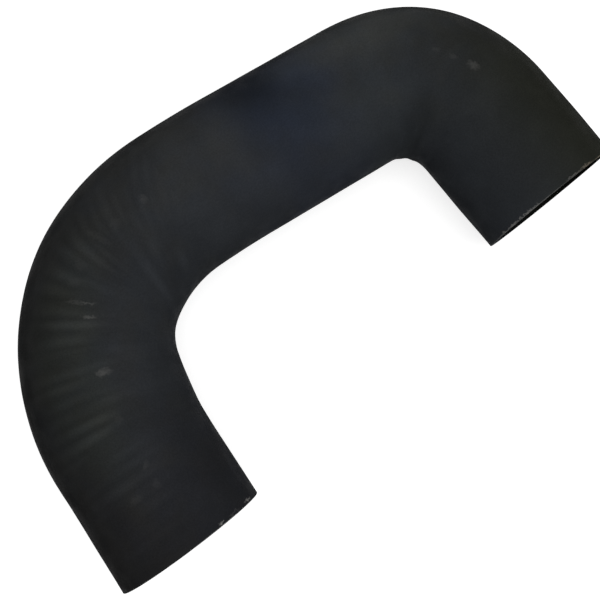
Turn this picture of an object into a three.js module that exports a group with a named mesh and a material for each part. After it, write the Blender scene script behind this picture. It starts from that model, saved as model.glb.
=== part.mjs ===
// Duct hose for an engine bay: one moulded rubber tube of round section with two bends that turn
// the same way, open and cut square at both ends.
// Millimetres, +Z up. The hose lies on its side. Leg A points along -Y, the middle runs along +X
// and leg B comes back beside leg A. The origin is under the middle of its box.
import * as THREE from 'three';

// Section of the hose
const bore = 63.5;
const wall = 3.25;

// Centreline from end A to end B. A bend is given by the clear radius inside it and its angle
// in degrees. Each bend is tightest in its core and eases off before and after it.
const legALength = 46;
const bend1EntryInside = 86;
const bend1EntryAngle = 18;
const bend1CoreInside = 32;
const bend1CoreAngle = 41;
const bend1ExitInside = 50;
const bend1ExitAngle = 29;
const middleBowInside = 420;
const middleBowAngle = 4;
const middleLength = 68;
const bend2EntryInside = 23;
const bend2EntryAngle = 7;
const bend2CoreInside = 10;
const bend2CoreAngle = 61;
const bend2ExitInside = 21;
const bend2ExitAngle = 16;
const legBLength = 47;

// The ends are cut by hand a little off square, by these angles in degrees. A cut with a positive
// lean reaches further out at the top of the hose, and one with a positive skew reaches further
// out on the side that faces the other leg.
const cutLeanA = 2;
const cutSkewA = -2;
const cutLeanB = -1.5;

// Shallow grooves round the outer wall, pressed in by the edges of the tape that the hose is
// wrapped in while it cures, so that low ridges stand between them. They are deepest on the
// first bend, and there are none on the middle and on leg B.
const groovePitch = 6;
const grooveDepthLegA = 0.3;
const grooveDepthBend1 = 0.45;
const grooveDepthBend2 = 0.3;

// Hollow in the inner shoulders of the second bend, where the wall is drawn in as it turns
const hollowDepth = 1.4;
const hollowLength = 34;
const hollowRise = 38;

// The hose isn't quite round. Across the bends it is this much wider on each side than its section,
// or slimmer where negative, in the middle of these stretches and at end B.
const fullnessBend1Entry = 0.8;
const fullnessBend1Core = -0.65;
const fullnessBend2Core = 0.9;
const fullnessEndB = -0.45;
const fullnessReach = 28;

// Facets
const sides = 28;
const longestStep = 12;
const widestStep = 9;

const outerRadius = bore / 2 + wall;

// A stretch of centreline that runs straight on
function straight(length, grooveDepth) {
  return { length, turn: 0, grooveDepth };
}

// A stretch of centreline that turns to the right
function bend(inside, angle, grooveDepth) {
  const turn = THREE.MathUtils.degToRad(angle);
  return { length: (inside + outerRadius) * turn, turn, grooveDepth };
}

const stretches = [
  straight(legALength, grooveDepthLegA),
  bend(bend1EntryInside, bend1EntryAngle, grooveDepthBend1),
  bend(bend1CoreInside, bend1CoreAngle, grooveDepthBend1),
  bend(bend1ExitInside, bend1ExitAngle, grooveDepthBend1),
  bend(middleBowInside, middleBowAngle, 0),
  straight(middleLength, 0),
  bend(bend2EntryInside, bend2EntryAngle, grooveDepthBend2),
  bend(bend2CoreInside, bend2CoreAngle, grooveDepthBend2),
  bend(bend2ExitInside, bend2ExitAngle, grooveDepthBend2),
  straight(legBLength, 0),
];
const [, bend1Entry, bend1Core] = stretches;
const bend2Core = stretches[7];

// Where each stretch starts, its heading there, and its distance from end A
let start = new THREE.Vector2(0, 0);
let heading = Math.PI / 2;
let distance = 0;
for (const stretch of stretches) {
  Object.assign(stretch, { start, heading, distance });
  start = pointOn(stretch, stretch.length);
  heading -= stretch.turn;
  distance += stretch.length;
}
const hoseLength = distance;

// The point of the centreline that lies so far along a stretch
function pointOn(stretch, along) {
  if (stretch.turn === 0) {
    const forward = new THREE.Vector2(Math.cos(stretch.heading), Math.sin(stretch.heading));
    return forward.multiplyScalar(along).add(stretch.start);
  }
  const radius = stretch.length / stretch.turn;
  const from = stretch.heading;
  const to = from - along / radius;
  const step = new THREE.Vector2(Math.sin(from) - Math.sin(to), Math.cos(to) - Math.cos(from));
  return step.multiplyScalar(radius).add(stretch.start);
}

// The centreline's point and heading at a distance from end A
function centreAt(wanted) {
  const stretch = stretches.findLast((one) => one.distance <= wanted) ?? stretches[0];
  const along = wanted - stretch.distance;
  return {
    point: pointOn(stretch, along),
    heading: stretch.heading - (stretch.turn * along) / stretch.length,
  };
}

// Even steps along a stretch that are neither too long nor turn too far
function stepsOf(stretch) {
  const byLength = stretch.length / longestStep;
  const byAngle = THREE.MathUtils.radToDeg(stretch.turn) / widestStep;
  return Math.ceil(Math.max(byLength, byAngle));
}

// Half section of the straight hose: the grooved outer wall up, the smooth bore back down
function halfSection() {
  const outline = [new THREE.Vector2(outerRadius, 0)];
  for (const stretch of stretches) {
    const grooved = stretch.grooveDepth > 0;
    const count = grooved ? Math.ceil(stretch.length / groovePitch) : stepsOf(stretch);
    for (let i = 0; i < count; i += 1) {
      const groove = stretch.distance + (stretch.length * (i + 0.5)) / count;
      const ridge = stretch.distance + (stretch.length * (i + 1)) / count;
      if (grooved) outline.push(new THREE.Vector2(outerRadius - stretch.grooveDepth, groove));
      outline.push(new THREE.Vector2(outerRadius, ridge));
    }
  }
  for (const stretch of stretches.toReversed()) {
    const count = stepsOf(stretch);
    for (let i = count; i > 0; i -= 1) {
      const along = stretch.distance + (stretch.length * i) / count;
      outline.push(new THREE.Vector2(bore / 2, along));
    }
  }
  outline.push(new THREE.Vector2(bore / 2, 0));
  outline.push(outline[0].clone());
  return outline;
}

// The distance from end A to the middle of a stretch
function middleOf(stretch) {
  return stretch.distance + stretch.length / 2;
}

// How much wider the hose is on each side at a distance from end A
function fullnessAt(along) {
  const places = [
    [middleOf(bend1Entry), fullnessBend1Entry],
    [middleOf(bend1Core), fullnessBend1Core],
    [middleOf(bend2Core), fullnessBend2Core],
    [hoseLength, fullnessEndB],
  ];
  let sum = 0;
  for (const [place, fullness] of places) {
    const reach = Math.min(1, Math.abs(along - place) / fullnessReach);
    sum += fullness * (0.5 + 0.5 * Math.cos(Math.PI * reach));
  }
  return sum;
}

// How far the wall is drawn in at a distance from end A and an angle up from the bend's inside
function drawnIn(along, rise) {
  const lengthwise = (along - middleOf(bend2Core)) / (hollowLength / 2);
  const spread = THREE.MathUtils.degToRad(hollowRise);
  const round = (Math.abs(rise) - spread) / spread;
  const reach = Math.hypot(lengthwise, round);
  return reach < 1 ? hollowDepth * (0.5 + 0.5 * Math.cos(Math.PI * reach)) : 0;
}

// How far an angled cut moves a point along the hose, fading out over the leg
function cutShift(along, inward, height) {
  const nearA = Math.max(0, 1 - along / legALength);
  const nearB = Math.max(0, 1 - (hoseLength - along) / legBLength);
  const leanA = Math.tan(THREE.MathUtils.degToRad(cutLeanA));
  const skewA = Math.tan(THREE.MathUtils.degToRad(cutSkewA));
  const leanB = Math.tan(THREE.MathUtils.degToRad(cutLeanB));
  return nearB * leanB * height - nearA * (leanA * height + skewA * inward);
}

// Revolves the half section and lays the straight hose along the centreline
function hoseGeometry() {
  const geometry = new THREE.LatheGeometry(halfSection(), sides);
  const position = geometry.getAttribute('position');
  const vertex = new THREE.Vector3();
  for (let i = 0; i < position.count; i += 1) {
    vertex.fromBufferAttribute(position, i);
    const radius = Math.hypot(vertex.x, vertex.z);
    const kept = (radius - drawnIn(vertex.y, Math.atan2(vertex.z, vertex.x))) / radius;
    const centre = centreAt(vertex.y + cutShift(vertex.y, vertex.x, vertex.z));
    const inward = kept * vertex.x * (1 + fullnessAt(vertex.y) / outerRadius);
    position.setXYZ(
      i,
      centre.point.x + inward * Math.sin(centre.heading),
      centre.point.y - inward * Math.cos(centre.heading),
      kept * vertex.z,
    );
  }
  geometry.computeVertexNormals();
  geometry.computeBoundingBox();
  const box = geometry.boundingBox;
  geometry.translate(-(box.min.x + box.max.x) / 2, -(box.min.y + box.max.y) / 2, -box.min.z);
  return geometry;
}

// Matt black rubber
const rubber = new THREE.MeshStandardMaterial({ color: 0x24272a, roughness: 0.8, metalness: 0 });

const hose = new THREE.Mesh(hoseGeometry(), rubber);
hose.name = 'duct_hose';

const group = new THREE.Group();
group.add(hose);

export default group;
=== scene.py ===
import math
from collections import namedtuple

import bmesh
import bpy
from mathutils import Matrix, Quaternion, Vector, noise


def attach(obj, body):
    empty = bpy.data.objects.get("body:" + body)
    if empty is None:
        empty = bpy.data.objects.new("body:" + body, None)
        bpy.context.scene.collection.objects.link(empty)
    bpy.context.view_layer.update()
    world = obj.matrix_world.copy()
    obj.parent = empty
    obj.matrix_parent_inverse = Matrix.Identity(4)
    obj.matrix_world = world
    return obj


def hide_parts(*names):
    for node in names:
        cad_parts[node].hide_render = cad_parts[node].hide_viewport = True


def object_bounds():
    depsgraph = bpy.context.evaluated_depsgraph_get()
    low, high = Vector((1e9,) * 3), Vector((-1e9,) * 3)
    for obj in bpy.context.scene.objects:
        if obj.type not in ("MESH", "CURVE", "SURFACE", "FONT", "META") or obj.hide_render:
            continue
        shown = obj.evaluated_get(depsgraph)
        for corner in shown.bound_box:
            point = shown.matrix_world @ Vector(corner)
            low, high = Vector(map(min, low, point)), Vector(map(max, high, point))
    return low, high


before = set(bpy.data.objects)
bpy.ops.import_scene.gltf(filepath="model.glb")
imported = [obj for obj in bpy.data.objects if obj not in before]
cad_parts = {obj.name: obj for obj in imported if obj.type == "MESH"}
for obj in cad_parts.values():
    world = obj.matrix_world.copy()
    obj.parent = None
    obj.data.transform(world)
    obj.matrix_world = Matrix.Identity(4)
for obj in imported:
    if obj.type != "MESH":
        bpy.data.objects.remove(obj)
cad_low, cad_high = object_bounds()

# Camera
# It looks almost straight down on the lying hose, from over the space between its legs, turned so
# that leg A ends at the lower left of the picture and leg B at its upper right.
camera_stand = Vector((-0.05827, -0.06543, 0.39782))
camera_aim = Vector((-0.01302, -0.02034, 0.035))
camera_roll = math.radians(11.34)
camera_lens = 48

camera = bpy.data.objects.new("camera", bpy.data.cameras.new("camera"))
camera.data.lens = camera_lens
camera.data.sensor_width = 36
camera.data.clip_start = 0.01
camera.location = camera_stand
camera.rotation_mode = "QUATERNION"
level = (camera_aim - camera_stand).to_track_quat("-Z", "Y")
camera.rotation_quaternion = level @ Quaternion((0, 0, 1), camera_roll)
bpy.context.collection.objects.link(camera)
bpy.context.scene.camera = camera

# Hose
# One moulded tube of black rubber over fabric, wrapped in tape on a bent mandrel while it cures,
# then cut to length by hand. The mandrel leaves the bore smooth, and the tape leaves low ridges.
bore = 0.0635
wall = 0.00325
outer_radius = bore / 2 + wall
mid_wall_radius = bore / 2 + wall / 2
leg_a_length = 0.046
middle_length = 0.068
leg_b_length = 0.0477
groove_leg_a = 0.0003
groove_bend_1 = 0.00045
groove_bend_2 = 0.00012

# A stretch of the hose has a length, turns to the right by so much, and has grooves so deep
Stretch = namedtuple("Stretch", "length turn groove")


def straight(length, groove=0.0):
    """A stretch that runs straight on."""
    return Stretch(length, 0.0, groove)


def bend(inside, degrees, groove=0.0):
    """A stretch that turns to the right round a clear radius inside it."""
    turn = math.radians(degrees)
    return Stretch((inside + outer_radius) * turn, turn, groove)


leg_a = straight(leg_a_length, groove_leg_a)
bend_1_entry = bend(0.086, 18, groove_bend_1)
bend_1_core = bend(0.032, 41, groove_bend_1)
bend_1_exit = bend(0.050, 29, groove_bend_1)
middle_bow = bend(0.420, 4)
middle_run = straight(middle_length)
bend_2_entry = bend(0.023, 7, groove_bend_2)
bend_2_core = bend(0.010, 61, groove_bend_2)
bend_2_exit = bend(0.021, 16, groove_bend_2)
leg_b = straight(leg_b_length)
stretches = [
    leg_a, bend_1_entry, bend_1_core, bend_1_exit, middle_bow,
    middle_run, bend_2_entry, bend_2_core, bend_2_exit, leg_b,
]
hose_length = sum(stretch.length for stretch in stretches)
deepest_groove = max(stretch.groove for stretch in stretches)

# Where a stretch starts: its distance from end A, its place and its heading
Start = namedtuple("Start", "distance point heading")


def walked(point, heading, length, turn):
    """The point and heading at the end of a way of this length that turns so far to the right."""
    if turn == 0:
        return point + Vector((math.cos(heading), math.sin(heading), 0)) * length, heading
    end = heading - turn
    step = Vector((math.sin(heading) - math.sin(end), math.cos(end) - math.cos(heading), 0))
    return point + step * length / turn, end


starts = [Start(0.0, Vector((0, 0, outer_radius)), math.pi / 2)]
for stretch in stretches[:-1]:
    distance, point, heading = starts[-1]
    point, heading = walked(point, heading, stretch.length, stretch.turn)
    starts.append(Start(distance + stretch.length, point, heading))


def stretch_at(along):
    """The stretch that a distance from end A falls in, and where that stretch starts."""
    for stretch, start in zip(stretches, starts):
        if along <= start.distance + stretch.length:
            break
    return stretch, start


def middle_of(stretch):
    """The distance from end A to the middle of a stretch."""
    return starts[stretches.index(stretch)].distance + stretch.length / 2


# The tube starts straight up, as its half section revolved: the outer wall, the cut at end B,
# the bore and the cut at end A, with the cut edges a little rounded
rim_round = 0.0004
rim_facets = 4
outer_ring_gap = 0.001
bore_ring_gap = 0.0025
sides = 120

hose = bmesh.new()
corners = [
    hose.verts.new((outer_radius, 0, 0)),
    hose.verts.new((outer_radius, 0, hose_length)),
    hose.verts.new((bore / 2, 0, hose_length)),
    hose.verts.new((bore / 2, 0, 0)),
]
for first, second in zip(corners, corners[1:] + corners[:1]):
    hose.edges.new((first, second))
bmesh.ops.bevel(
    hose, geom=corners, offset=rim_round, affect="VERTICES", segments=rim_facets,
    profile=0.5, material=-1,
)


def divide(gap, belongs):
    """Divides the edges of the half section that belong, into pieces a gap or so long."""
    for edge in [edge for edge in hose.edges if belongs(*(vert.co for vert in edge.verts))]:
        cuts = math.ceil(edge.calc_length() / gap) - 1
        bmesh.ops.subdivide_edges(hose, edges=[edge], cuts=cuts)


# The long edges of the outer wall and of the bore, then the edges of the two cuts
divide(outer_ring_gap, lambda a, b: abs(a.z - b.z) > hose_length / 2 and a.x > mid_wall_radius)
divide(bore_ring_gap, lambda a, b: abs(a.z - b.z) > hose_length / 2 and a.x < mid_wall_radius)
divide(outer_ring_gap, lambda a, b: abs(a.x - b.x) > wall / 2)
bmesh.ops.spin(
    hose, geom=hose.verts[:] + hose.edges[:], cent=(0, 0, 0), axis=(0, 0, 1),
    angle=2 * math.pi, steps=sides, use_merge=True,
)

# Ridges of the tape, a pitch apart and each slipped a little. They stand out on the outer flank,
# where they begin on leg A and run ever more askew along bend 1 as they fade.
groove_pitch = 0.006
ridge_sharpness = 1.6
slip_most = 0.18
slip_seed = 3.1
slip_waves_round = 0.7
slip_waves_along = 90
flank_middle = math.radians(101)
flank_spread = math.radians(24.5)
flank_least = 0.06
least_at_end_a = 0.15
full_after = 0.050
fading_from = 0.110
fading_to = 0.145
faded = 0.35
askew_most = 0.016

# No ridge is as strong as the next: they swell and die away round the hose and along it
strength_middle = 0.52
strength_swing = 1.5
strength_waves_round = 1.7
strength_waves_along = 1 / 0.007

# Creases inside bend 1, where the wrap was squeezed together: by distance from end A, degrees up
# from the inside of the bend, degrees that they reach, and how strong they are. They lean along
# the hose by their skew in a radian.
crease_pitch = 0.011
crease_reach = 0.011
crease_skew = 0.0174
creases = [
    (0.1355, 48, 38, 0.50),
    (0.1549, 38, 17, 0.50),
    (0.1493, 61, 12, 0.40),
]


def fading_out(reach):
    """1 in the middle of a place, falling smoothly to 0 at a reach of 1 and beyond."""
    return 0.5 + 0.5 * math.cos(math.pi * min(1.0, reach))


def crease_at(along, around):
    """How much of a groove and how much of a ridge the creases make there."""
    pressed = 0.0
    raised = 0.0
    for place, rise, spread, strength in creases:
        beside = around - math.radians(rise)
        off = along - place - crease_skew * beside
        share = strength * fading_out(math.hypot(off / crease_reach, beside / math.radians(spread)))
        crest = math.cos(math.pi * off / crease_pitch) ** 2
        pressed += share * (1 - crest)
        raised += share * crest
    return pressed, raised


def ridge_at(along, around):
    """How deep the wall is pressed in there, and how much of a ridge stands out, from 0 to 1."""
    stretch, start = stretch_at(along)
    fading = min(1.0, max(0.0, (along - fading_from) / (fading_to - fading_from)))
    askew = along - askew_most * fading * (around - flank_middle)
    phase = (askew - start.distance) / stretch.length * math.ceil(stretch.length / groove_pitch)
    slip = noise.noise(Vector((slip_seed, around * slip_waves_round, along * slip_waves_along)))
    phase += slip_most * slip * math.sin(math.pi * phase)
    crest = abs(math.cos(math.pi * phase)) ** ridge_sharpness
    off_flank = (around - flank_middle) / flank_spread
    strength = flank_least + (1 - flank_least) * math.exp(-off_flank ** 2)
    strength *= min(1.0, least_at_end_a + along / full_after) * (1 - (1 - faded) * fading)
    spot = Vector((math.cos(around), math.sin(around), 0)) * strength_waves_round
    spot.z = along * strength_waves_along
    strength *= min(1.0, max(0.0, strength_middle + strength_swing * noise.noise(spot)))
    pressed, raised = crease_at(along, around)
    pressed += strength * (1 - crest)
    raised += strength * crest
    return stretch.groove * pressed, raised * stretch.groove / deepest_groove


# The wall is nowhere quite true: it wanders in by this much over this far
wander_depth = 0.0001
wander_reach = 0.012


def wander_at(along, around):
    """How far the wall wanders in."""
    place = Vector((math.cos(around) * outer_radius, math.sin(around) * outer_radius, along))
    return wander_depth * (0.5 + 0.5 * noise.noise(place / wander_reach))


# Hollow in the inner shoulders of the second bend, where the wall is drawn in as it turns
hollow_depth = 0.0014
hollow_length = 0.034
hollow_rise = math.radians(38)


def drawn_in(along, around):
    """How far the wall is drawn in by the hollow."""
    lengthwise = (along - middle_of(bend_2_core)) / (hollow_length / 2)
    crosswise = (abs(around) - hollow_rise) / hollow_rise
    return hollow_depth * fading_out(math.hypot(lengthwise, crosswise))


# The hose isn't quite round: across the bends it is this much wider on each side, or slimmer
fullness_reach = 0.028
full_places = [
    (middle_of(bend_1_entry), 0.0008),
    (middle_of(bend_1_core), -0.00065),
    (middle_of(bend_2_core), 0.0009),
    (hose_length, -0.00045),
]


def fullness_at(along):
    """How much wider the hose is on each side at a distance from end A."""
    return sum(
        fullness * fading_out(abs(along - place) / fullness_reach)
        for place, fullness in full_places
    )


# The cuts made by hand are off square by these slopes, upwards and towards the inside
lean_a = math.tan(math.radians(2))
skew_a = math.tan(math.radians(-2))
lean_b = math.tan(math.radians(-0.7))
skew_b = math.tan(math.radians(0.4))


def cut_shift(along, inward, height):
    """How far an angled cut moves a point along the hose, fading out over the leg."""
    near_a = max(0.0, 1 - along / leg_a_length)
    near_b = max(0.0, 1 - (hose_length - along) / leg_b_length)
    shift_b = near_b * (lean_b * height + skew_b * inward)
    return shift_b - near_a * (lean_a * height + skew_a * inward)


def laid(inward, height, along):
    """Where a point of the straight tube comes to lie on the bent one."""
    stretch, start = stretch_at(along)
    share = (along - start.distance) / stretch.length
    length, turn = stretch.length * share, stretch.turn * share
    point, heading = walked(start.point, start.heading, length, turn)
    return point + Vector((math.sin(heading) * inward, -math.cos(heading) * inward, height))


# Each point keeps where it was on the straight tube, how much of a ridge it is on, and how close
# it is to a cut edge, for the finish of the rubber and the highlights painted on ridges and cuts
cut_edge_glint_reach = 0.0004
unbent = hose.verts.layers.float_vector.new("unbent")
ridge = hose.verts.layers.float.new("ridge")
cut_edge_glint = hose.verts.layers.float.new("cut_edge_glint")
for vert in hose.verts:
    inward, height, along = vert[unbent] = vert.co
    radius = math.hypot(inward, height)
    around = math.atan2(height, inward)
    pressed = drawn_in(along, around)
    if radius > mid_wall_radius:
        groove, vert[ridge] = ridge_at(along, around)
        pressed += groove + wander_at(along, around)
    off_edge = outer_radius - radius + min(along, hose_length - along)
    vert[cut_edge_glint] = max(0.0, 1 - off_edge / cut_edge_glint_reach)
    kept = 1 - pressed / radius
    inward *= kept * (1 + fullness_at(along) / outer_radius)
    height *= kept
    vert.co = laid(inward, height, along + cut_shift(along, inward, height))
bmesh.ops.recalc_face_normals(hose, faces=hose.faces)

# The hose takes the middle of the CAD model's box
lows = [min(vert.co[i] for vert in hose.verts) for i in range(3)]
highs = [max(vert.co[i] for vert in hose.verts) for i in range(3)]
middle = (Vector(lows) + Vector(highs)) / 2
bmesh.ops.translate(hose, verts=hose.verts, vec=(cad_low + cad_high) / 2 - middle)

hose_mesh = bpy.data.meshes.new("hose")
hose.to_mesh(hose_mesh)
hose.free()
hose_mesh.shade_smooth()
hose_piece = bpy.data.objects.new("hose", hose_mesh)
bpy.context.collection.objects.link(hose_piece)

rubber_gloss = 0.02
rubber = bpy.data.materials.new("rubber")
rubber.use_nodes = True
shader = rubber.node_tree.nodes["Principled BSDF"]
shader.inputs["Specular IOR Level"].default_value = rubber_gloss


def add(tree, kind, *inputs, **settings):
    """A new node with these settings, its inputs linked or set in their order."""
    made = tree.nodes.new("ShaderNode" + kind)
    for name, value in settings.items():
        setattr(made, name, value)
    for socket, value in zip(made.inputs, inputs):
        if isinstance(value, bpy.types.NodeSocket):
            tree.links.new(value, socket)
        elif value is not None:
            socket.default_value = value
    return made


def math_node(operation, *inputs):
    """The result of one step of arithmetic on numbers."""
    return add(rubber.node_tree, "Math", *inputs, operation=operation).outputs[0]


def vector_node(operation, *inputs):
    """The result of one step of arithmetic on places or colours."""
    made = add(rubber.node_tree, "VectorMath", *inputs, operation=operation)
    return made.outputs["Value" if operation == "LENGTH" else "Vector"]


def attribute(name, output):
    """What each point of the hose keeps under this name."""
    return add(rubber.node_tree, "Attribute", attribute_name=name).outputs[output]


def noise_node(place, scale, detail, roughness=0.5, output="Fac"):
    """Uneven patches, as many to the metre as the scale."""
    made = add(rubber.node_tree, "TexNoise", place)
    made.inputs["Scale"].default_value = scale
    made.inputs["Detail"].default_value = detail
    made.inputs["Roughness"].default_value = roughness
    return made.outputs[output]


def ranged(value, from_range, to_range):
    """A value moved smoothly from one range to another and kept inside it."""
    return add(
        rubber.node_tree, "MapRange", value, *from_range, *to_range,
        interpolation_type="SMOOTHSTEP",
    ).outputs[0]


def mixed(factor, first, second, blend="MIX"):
    """A mix of two colours, whose sockets come after five for other kinds of value."""
    other_kinds = [None] * 5
    return add(
        rubber.node_tree, "Mix", factor, *other_kinds, first, second,
        data_type="RGBA", blend_type=blend,
    ).outputs[2]


def around_spot(place, along, degrees, across, lengthwise):
    """How far a place is from a spot on the wall, in reaches of the spot round and along."""
    around = math.radians(degrees)
    spot = (math.cos(around) * outer_radius, math.sin(around) * outer_radius, along)
    off = vector_node("SUBTRACT", place, spot)
    return vector_node("LENGTH", vector_node("DIVIDE", off, (across, across, lengthwise)))


body_place = add(rubber.node_tree, "TexCoord").outputs["Object"]
hose_place = attribute("unbent", "Vector")
section = add(rubber.node_tree, "SeparateXYZ", hose_place)
inward_hose, height_hose, along_hose = section.outputs

# Black rubber under a thin haze of bloom, which is greyer on bend 1, blue on the middle run,
# greener on bend 2 and hardly there on the legs. Each tone is reached at its distance from end A,
# a little sooner or later from patch to patch.
tones = [
    (0.010, (0.0182, 0.0184, 0.0194, 1)),
    (0.065, (0.0212, 0.0222, 0.0228, 1)),
    (0.190, (0.0216, 0.0228, 0.0238, 1)),
    (0.230, (0.0206, 0.0226, 0.0268, 1)),
    (0.275, (0.0222, 0.0240, 0.0246, 1)),
    (0.355, (0.0168, 0.0174, 0.0164, 1)),
]
tone_wander = 0.06
tone_patches = 30
patches = noise_node(body_place, tone_patches, 2)
sooner = math_node("SUBTRACT", along_hose, tone_wander / 2)
wandering = math_node("MULTIPLY_ADD", patches, tone_wander, sooner)
colour = tones[0][1]
for (before, tone), (after, next_tone) in zip(tones, tones[1:]):
    colour = mixed(ranged(wandering, (before, after), (0, 1)), colour, next_tone)

# The haze is bluer on the side that faces the other leg. On leg B it is olive on the side that
# faces away and slate on the one that faces leg A.
warm_tint = (1.02, 1.00, 0.96, 1)
blue_tint = (0.95, 0.99, 1.08, 1)
olive_tint = (0.90, 0.92, 0.75, 1)
slate_tint = (1.06, 1.14, 1.38, 1)
away_to_facing = (-0.034, 0.030)
olive_to_slate = (-0.020, 0.034)
leg_b_begins = (0.305, 0.350)
tint_patches = 65
tint_unsteady = 0.35
facing = ranged(inward_hose, away_to_facing, (0, 1))
uneven = noise_node(body_place, tint_patches, 2)
unsteady = ranged(uneven, (0.3, 0.7), (-tint_unsteady, tint_unsteady))
tint = mixed(math_node("ADD", facing, unsteady), warm_tint, blue_tint)
tint_leg_b = mixed(ranged(inward_hose, olive_to_slate, (0, 1)), olive_tint, slate_tint)
tint = mixed(ranged(wandering, leg_b_begins, (0, 1)), tint, tint_leg_b)
colour = mixed(1.0, colour, tint, "MULTIPLY")

# Painted light and shade by side: the side that faces away is painted darker than the side that
# faces the other leg, all the more on leg A, and darkest on the outermost flank and underneath
flank_edge = (-0.0320, -0.0210)
flank_painted_shade = 0.40
underside_edge = (-0.018, 0.010)
underside_painted_shade = 0.45
painted_shade_away = ranged(along_hose, (0.0, 0.25), (0.62, 0.92))
painted_shade_facing = ranged(along_hose, (0.0, 0.10), (0.84, 1.10))
painted_shade_gain = math_node("SUBTRACT", painted_shade_facing, painted_shade_away)
painted_side_shade = math_node("MULTIPLY_ADD", facing, painted_shade_gain, painted_shade_away)
flank = ranged(inward_hose, flank_edge, (flank_painted_shade, 1))
underside = ranged(height_hose, underside_edge, (underside_painted_shade, 1))
painted_side_shade = math_node("MULTIPLY", painted_side_shade, math_node("MULTIPLY", flank, underside))

# Paler and darker blotches, a fine speckle, and highlights painted on the ridges
blotch_scale = 55
speckle_scale = 1400
ridge_highlight_gain = 0.56
ridge_highlight_base = 0.99
blotches = ranged(noise_node(hose_place, blotch_scale, 3), (0.3, 0.7), (0.92, 1.08))
speckle = ranged(noise_node(body_place, speckle_scale, 2), (0.25, 0.75), (0.9, 1.1))
ridge_highlight = math_node("MULTIPLY_ADD", attribute("ridge", "Fac"), ridge_highlight_gain, ridge_highlight_base)
shade = math_node("MULTIPLY", math_node("MULTIPLY", blotches, speckle), ridge_highlight)
# The painted light and shade by side goes into the colour
shade = math_node("MULTIPLY", shade, painted_side_shade)

# Painted shade darkens the bore
bore_shade = 0.6
bore_to_cut = (bore / 2 + 0.0001, bore / 2 + 0.0005)
across_hose = add(rubber.node_tree, "CombineXYZ", inward_hose, height_hose).outputs[0]
off_middle = vector_node("LENGTH", across_hose)
shade = math_node("MULTIPLY", shade, ranged(off_middle, bore_to_cut, (bore_shade, 1)))

# Patches of painted light and shade, where the haze is also thinner or chalkier: by distance from
# end A, degrees up from the inside of the bends, reach round and along, and how light they paint it
painted_light_patches = [
    (0.0350, 88, 0.022, 0.022, 1.14),
    (0.0950, 128, 0.024, 0.070, 0.80),
    (0.1410, 55, 0.030, 0.034, 0.85),
    (0.1930, 108, 0.032, 0.030, 1.24),
    (0.2270, 122, 0.026, 0.018, 0.72),
    (0.2740, 126, 0.024, 0.045, 1.66),
    (0.3050, 32, 0.022, 0.026, 0.84),
]
patch_edge = (0.2, 1.1)
for along, degrees, across, lengthwise, painted_level in painted_light_patches:
    reach = around_spot(hose_place, along, degrees, across, lengthwise)
    shade = math_node("MULTIPLY", shade, ranged(reach, patch_edge, (painted_level, 1)))
shades = add(rubber.node_tree, "CombineXYZ", shade, shade, shade).outputs[0]
colour = vector_node("MULTIPLY", colour, shades)

# A greenish strip on the outer flank of bend 1, and a deep blue patch on that of the middle run
green_tint = (1.05, 1.09, 0.99, 1)
green_edge = (0.4, 1.2)
deep_blue_tint = (0.86, 0.94, 1.09, 1)
deep_blue_edge = (0.3, 1.2)
green_reach = around_spot(hose_place, 0.0850, 101, 0.018, 0.060)
greenish = mixed(1.0, colour, green_tint, "MULTIPLY")
colour = mixed(ranged(green_reach, green_edge, (1, 0)), colour, greenish)
blue_reach = around_spot(hose_place, 0.2350, 112, 0.036, 0.030)
deep_blue = mixed(1.0, colour, deep_blue_tint, "MULTIPLY")
colour = mixed(ranged(blue_reach, deep_blue_edge, (1, 0)), colour, deep_blue)

# A highlight painted along the cut edges in places, more to the sides than the middle, little below
rim_glint_scale = 160
rim_glint_in_middle = 0.3
rim_glint_below = 0.15
rim_glint = ranged(noise_node(hose_place, rim_glint_scale, 4), (0.42, 0.58), (0.1, 1.0))
off_centre = math_node("ABSOLUTE", inward_hose)
beside_middle = ranged(off_centre, (0.004, 0.024), (rim_glint_in_middle, 1.0))
above = ranged(height_hose, (0.006, 0.016), (rim_glint_below, 1.0))
rim_glint = math_node("MULTIPLY", math_node("MULTIPLY", rim_glint, beside_middle), above)
rims = ranged(attribute("cut_edge_glint", "Fac"), (0.05, 0.40), (0, 1))
scuffed_and_glinting = math_node("MULTIPLY", rims, rim_glint)

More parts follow.
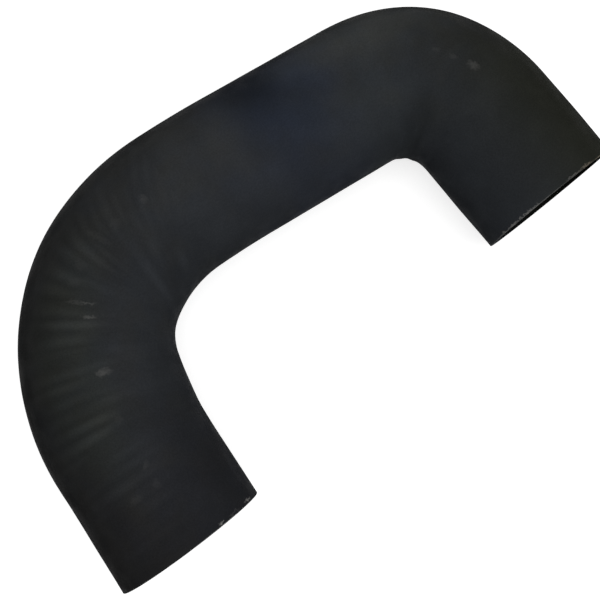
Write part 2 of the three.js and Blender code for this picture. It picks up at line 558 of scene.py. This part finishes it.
# Scuffs painted pale together with their glints, and glints painted on both cut edges: by distance
# from end A, degrees up from the inside of the bends, reach round and along, and how strong they
# are. Their outlines are frayed.
scuffs_and_glints = [
    (0.0014, 150.0, 0.0010, 0.0006, 0.35),
    (0.0015, 59.0, 0.0014, 0.0007, 1.00),
    (0.0012, 46.0, 0.0040, 0.0004, 0.15),
    (0.0014, 28.0, 0.0036, 0.0006, 0.90),
    (0.0280, 98.0, 0.0040, 0.0016, 0.04),
    (0.0285, 81.0, 0.0022, 0.0024, 0.04),
    (0.0370, 80.5, 0.0020, 0.0018, 0.06),
    (0.0590, 81.0, 0.0020, 0.0024, 0.04),
    (0.1110, 94.5, 0.0060, 0.0009, 0.09),
    (0.1112, 87.0, 0.0038, 0.0008, 0.20),
    (0.1052, 84.0, 0.0030, 0.0008, 0.22),
    (0.0800, 79.0, 0.0034, 0.0021, 0.22),
    (0.1185, 99.0, 0.0040, 0.0020, 0.04),
    (0.1255, 99.5, 0.0035, 0.0025, 0.04),
    (0.1385, 97.0, 0.0090, 0.0016, 0.04),
    (0.1470, 93.0, 0.0030, 0.0030, 0.04),
    (0.1625, 90.0, 0.0024, 0.0020, 0.07),
    (0.3090, 92.0, 0.0016, 0.0026, 0.05),
    (0.3170, 90.0, 0.0014, 0.0024, 0.06),
    (0.3265, 90.5, 0.0022, 0.0034, 0.16),
    (0.3927, 28.0, 0.0090, 0.0005, 0.80),
    (0.3927, 46.0, 0.0090, 0.0005, 0.65),
    (0.3927, 90.0, 0.0050, 0.0006, 0.45),
    (0.3927, 103.0, 0.0050, 0.0007, 0.50),
]
scuff_and_glint_edge = (0.2, 1.2)
fray = 0.004
fray_scale = 700
frayed = noise_node(body_place, fray_scale, 3, output="Color")
frayed = vector_node("SUBTRACT", frayed, (0.5,) * 3)
frayed_place = vector_node("ADD", hose_place, vector_node("MULTIPLY", frayed, (fray,) * 3))
for along, degrees, across, lengthwise, strength in scuffs_and_glints:
    reach = around_spot(frayed_place, along, degrees, across, lengthwise)
    scuffed_and_glinting = math_node("MAXIMUM", scuffed_and_glinting, ranged(reach, scuff_and_glint_edge, (strength, 0)))

# Scuffs and the painted glints are grey, and browner on the side of leg B that faces away
scuff_and_glint_colour = (0.158, 0.154, 0.148, 1)
brown_scuff_and_glint_colour = (0.182, 0.154, 0.118, 1)
brown_side = (0.002, -0.010)
brown_stretch = (0.30, 0.38)
browned = ranged(inward_hose, brown_side, (0, 1))
browned = math_node("MULTIPLY", browned, ranged(along_hose, brown_stretch, (0, 1)))
colour = mixed(scuffed_and_glinting, colour, mixed(browned, scuff_and_glint_colour, brown_scuff_and_glint_colour))
rubber.node_tree.links.new(colour, shader.inputs["Base Color"])

# Dull on the whole, duller in patches, a little glossier where the ridges are rubbed
ridge_shine = -0.12
dull_scale = 120
dullness = ranged(noise_node(hose_place, dull_scale, 4), (0.3, 0.7), (0.66, 0.84))
dullness = math_node("MULTIPLY_ADD", attribute("ridge", "Fac"), ridge_shine, dullness)
rubber.node_tree.links.new(dullness, shader.inputs["Roughness"])

# Fine grain, and the faint weave that the tape prints into the wall
threads_round = 260
thread_pitch = 0.0009
weave_share = 0.12
grain_scale = 700
grain_roughness = 0.65
relief_strength = 0.5
relief_depth = 0.0003
angle = math_node("ARCTAN2", height_hose, inward_hose)
warp = math_node("SINE", math_node("MULTIPLY", angle, threads_round))
weft = math_node("SINE", math_node("MULTIPLY", along_hose, 2 * math.pi / thread_pitch))
weave = math_node("MULTIPLY", warp, weft)
grain = noise_node(body_place, grain_scale, 5, grain_roughness)
relief = math_node("MULTIPLY_ADD", weave, weave_share, grain)
bump = add(rubber.node_tree, "Bump")
bump.inputs["Strength"].default_value = relief_strength
bump.inputs["Distance"].default_value = relief_depth
rubber.node_tree.links.new(relief, bump.inputs["Height"])
rubber.node_tree.links.new(bump.outputs["Normal"], shader.inputs["Normal"])
hose_mesh.materials.append(rubber)

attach(hose_piece, "root")
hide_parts("duct_hose")

# Floor
# A plain white sweep of paper, laid flat under the hose and far wider than the picture. It is white
# to the camera, keeps the hose's shadow, and throws little light back.
floor_half = 6
paper_grey = 0.55
paper_glow = 0.72
paper_thrown = 0.25

floor_mesh = bpy.data.meshes.new("floor")
sheet = bmesh.new()
bmesh.ops.create_grid(sheet, x_segments=1, y_segments=1, size=floor_half)
sheet.to_mesh(floor_mesh)
sheet.free()
floor = bpy.data.objects.new("floor", floor_mesh)
bpy.context.collection.objects.link(floor)


def seen_white(tree):
    """1 for what the camera sees directly, in a gloss or through glass, and 0 for other light."""
    path = add(tree, "LightPath").outputs
    seen = path["Is Camera Ray"]
    for other in ("Is Glossy Ray", "Is Transmission Ray"):
        seen = add(tree, "Math", seen, path[other], operation="MAXIMUM").outputs[0]
    return seen


paper = bpy.data.materials.new("paper")
paper.use_nodes = True
sheet_tree = paper.node_tree
sheet_tree.nodes.clear()
thrown = add(sheet_tree, "BsdfDiffuse", (paper_thrown,) * 3 + (1,)).outputs[0]
shadowed = add(sheet_tree, "BsdfDiffuse", (paper_grey,) * 3 + (1,)).outputs[0]
glow = add(sheet_tree, "Emission", (1, 1, 1, 1), paper_glow).outputs[0]
white = add(sheet_tree, "AddShader", shadowed, glow).outputs[0]
whole = add(sheet_tree, "MixShader", seen_white(sheet_tree), thrown, white).outputs[0]
add(sheet_tree, "OutputMaterial", whole)
floor_mesh.materials.append(paper)

# Light
# One softbox hangs over the open side of the hose and faces the middle of its box. A dim dome
# lights the hose from all round, and looks white to the camera.
softbox_size = 0.5
softbox_watts = 2.0
softbox_stand = Vector((0.00, -0.13, 0.59))
dome_strength = 0.5

softbox = bpy.data.objects.new("softbox", bpy.data.lights.new("softbox", "AREA"))
softbox.data.shape = "SQUARE"
softbox.data.size = softbox_size
softbox.data.energy = softbox_watts
softbox.location = softbox_stand
softbox.rotation_mode = "QUATERNION"
softbox.rotation_quaternion = (-softbox_stand).to_track_quat("-Z", "Y")
bpy.context.collection.objects.link(softbox)

world = bpy.data.worlds.new("studio")
world.use_nodes = True
world.node_tree.nodes.clear()
strength = add(world.node_tree, "MapRange", seen_white(world.node_tree), 0, 1, dome_strength, 1)
dome = add(world.node_tree, "Background", (1, 1, 1, 1), strength.outputs[0])
add(world.node_tree, "OutputWorld", dome.outputs[0])
bpy.context.scene.world = world

bpy.context.scene.view_settings.view_transform = "Standard"
